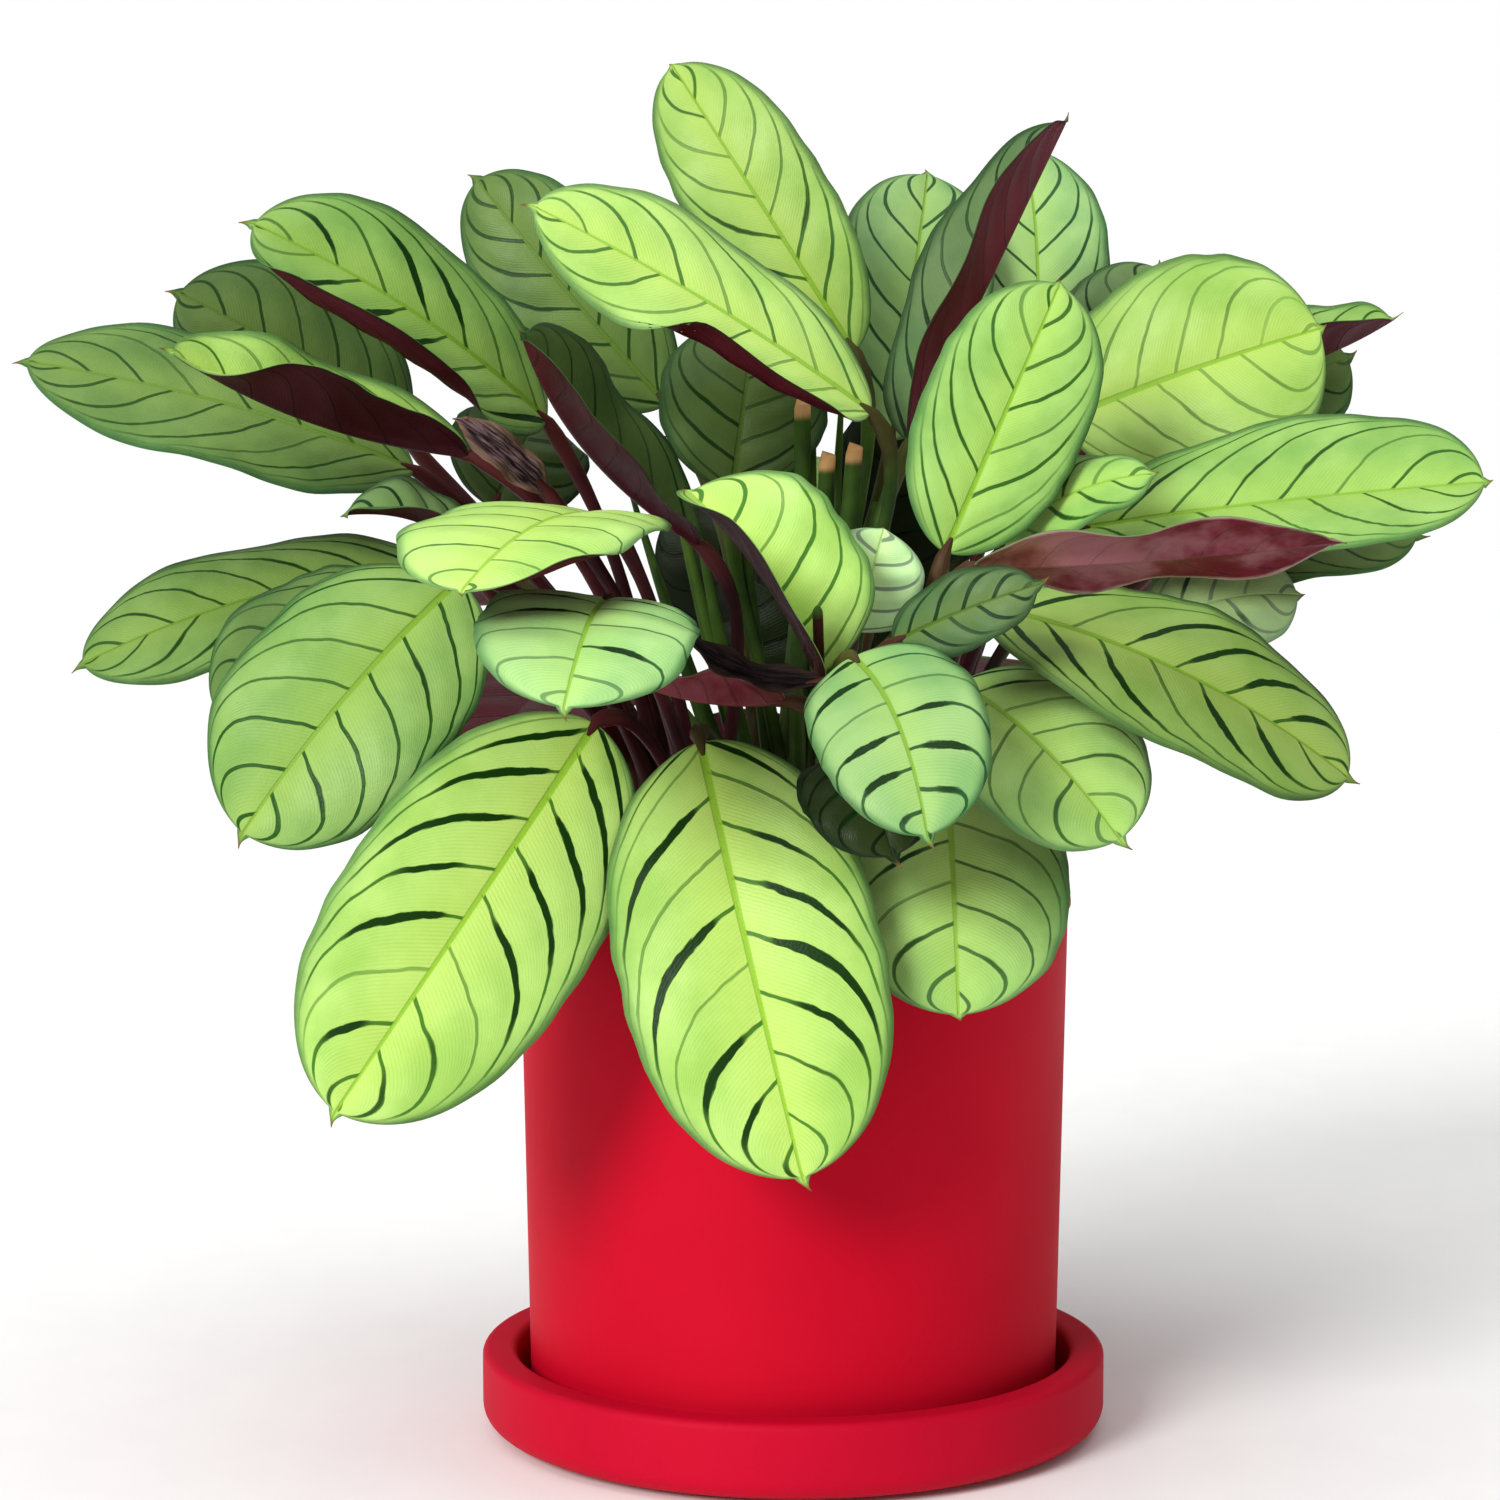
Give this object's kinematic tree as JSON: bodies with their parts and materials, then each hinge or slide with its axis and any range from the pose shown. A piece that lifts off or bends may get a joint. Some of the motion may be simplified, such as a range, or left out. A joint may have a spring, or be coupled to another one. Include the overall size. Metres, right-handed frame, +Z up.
{
  "type": "potted calathea",
  "caption": "Clump of patterned oval leaves with dark veins and maroon undersides on thin stalks, in a round matte red pot on a matching saucer.",
  "frame": {"origin": "centre of the saucer's flat foot, on the surface that it stands on, on the pot's axis", "axes": "+Z up along the pot's axis, -Y towards the plant's front, +X to the right as seen from the front"},
  "size_m": [0.3483, 0.2911, 0.3375],
  "materials": {
    "ceramic": "smooth matte red glaze",
    "soil": "moist dark potting soil with bark and grit",
    "stems": "smooth maroon and green leaf stalks",
    "leaf_lime": "waxy lime leaf, dark veins, maroon underside",
    "leaf_green": "waxy green leaf, dark veins, maroon underside",
    "leaf_deep": "waxy deep green leaf, dark veins, maroon underside",
    "leaf_silver": "waxy silver-green leaf, dark veins, maroon underside",
    "leaf_dry": "dry papery brown bract"
  },
  "bodies": {
    "root": {"saucer": "ceramic", "pot": "ceramic", "soil": "soil", "shoot_left": "stems", "shoot_front_left": "stems", "shoot_front": "stems", "shoot_front_right": "stems", "shoot_right": "stems", "shoot_middle": "stems", "shoot_back": "stems", "leaf_far_left": "leaf_deep", "leaf_left_hidden": "leaf_deep", "leaf_upper_left": "leaf_green", "leaf_narrow_left": "leaf_lime", "leaf_behind_bright": "leaf_deep", "leaf_bright_left": "leaf_lime", "leaf_crimson_left": "leaf_deep", "leaf_tall": "leaf_lime", "leaf_back_centre": "leaf_silver", "leaf_upright_fold": "leaf_silver", "leaf_back_right": "leaf_silver", "leaf_teal_right": "leaf_silver", "leaf_yellow_right": "leaf_lime", "leaf_crimson_right": "leaf_green", "leaf_dark_right": "leaf_deep", "leaf_round_front": "leaf_green", "leaf_far_right": "leaf_green", "leaf_small_right": "leaf_green", "leaf_purple_right": "leaf_green", "leaf_under_right": "leaf_deep", "leaf_dark_lower_right": "leaf_deep", "leaf_lower_right": "leaf_lime", "leaf_low_right": "leaf_green", "leaf_rim_right": "leaf_green", "leaf_dark_centre": "leaf_deep", "leaf_bright_centre": "leaf_lime", "leaf_small_centre": "leaf_silver", "leaf_slim_right": "leaf_silver", "leaf_front_right": "leaf_silver", "leaf_dark_front": "leaf_deep", "leaf_front_left_big": "leaf_lime", "leaf_front_centre_big": "leaf_lime", "leaf_left_tail": "leaf_green", "leaf_left_shadow": "leaf_deep", "leaf_left_low": "leaf_green", "leaf_small_left": "leaf_silver", "leaf_dark_left": "leaf_deep", "leaf_pale_left": "leaf_lime", "leaf_front_small": "leaf_silver", "leaf_magenta_front": "leaf_deep", "leaf_dry_left": "leaf_dry", "leaf_dry_centre": "leaf_dry", "leaf_back_hang": "leaf_green", "leaf_back_low_left": "leaf_deep", "leaf_back_low_right": "leaf_green", "leaf_back_mid_left": "leaf_green", "leaf_back_mid_right": "leaf_silver", "leaf_back_up": "leaf_deep", "leaf_shade_centre": "leaf_deep", "leaf_shade_right": "leaf_deep"}
  },
  "joints": []
}
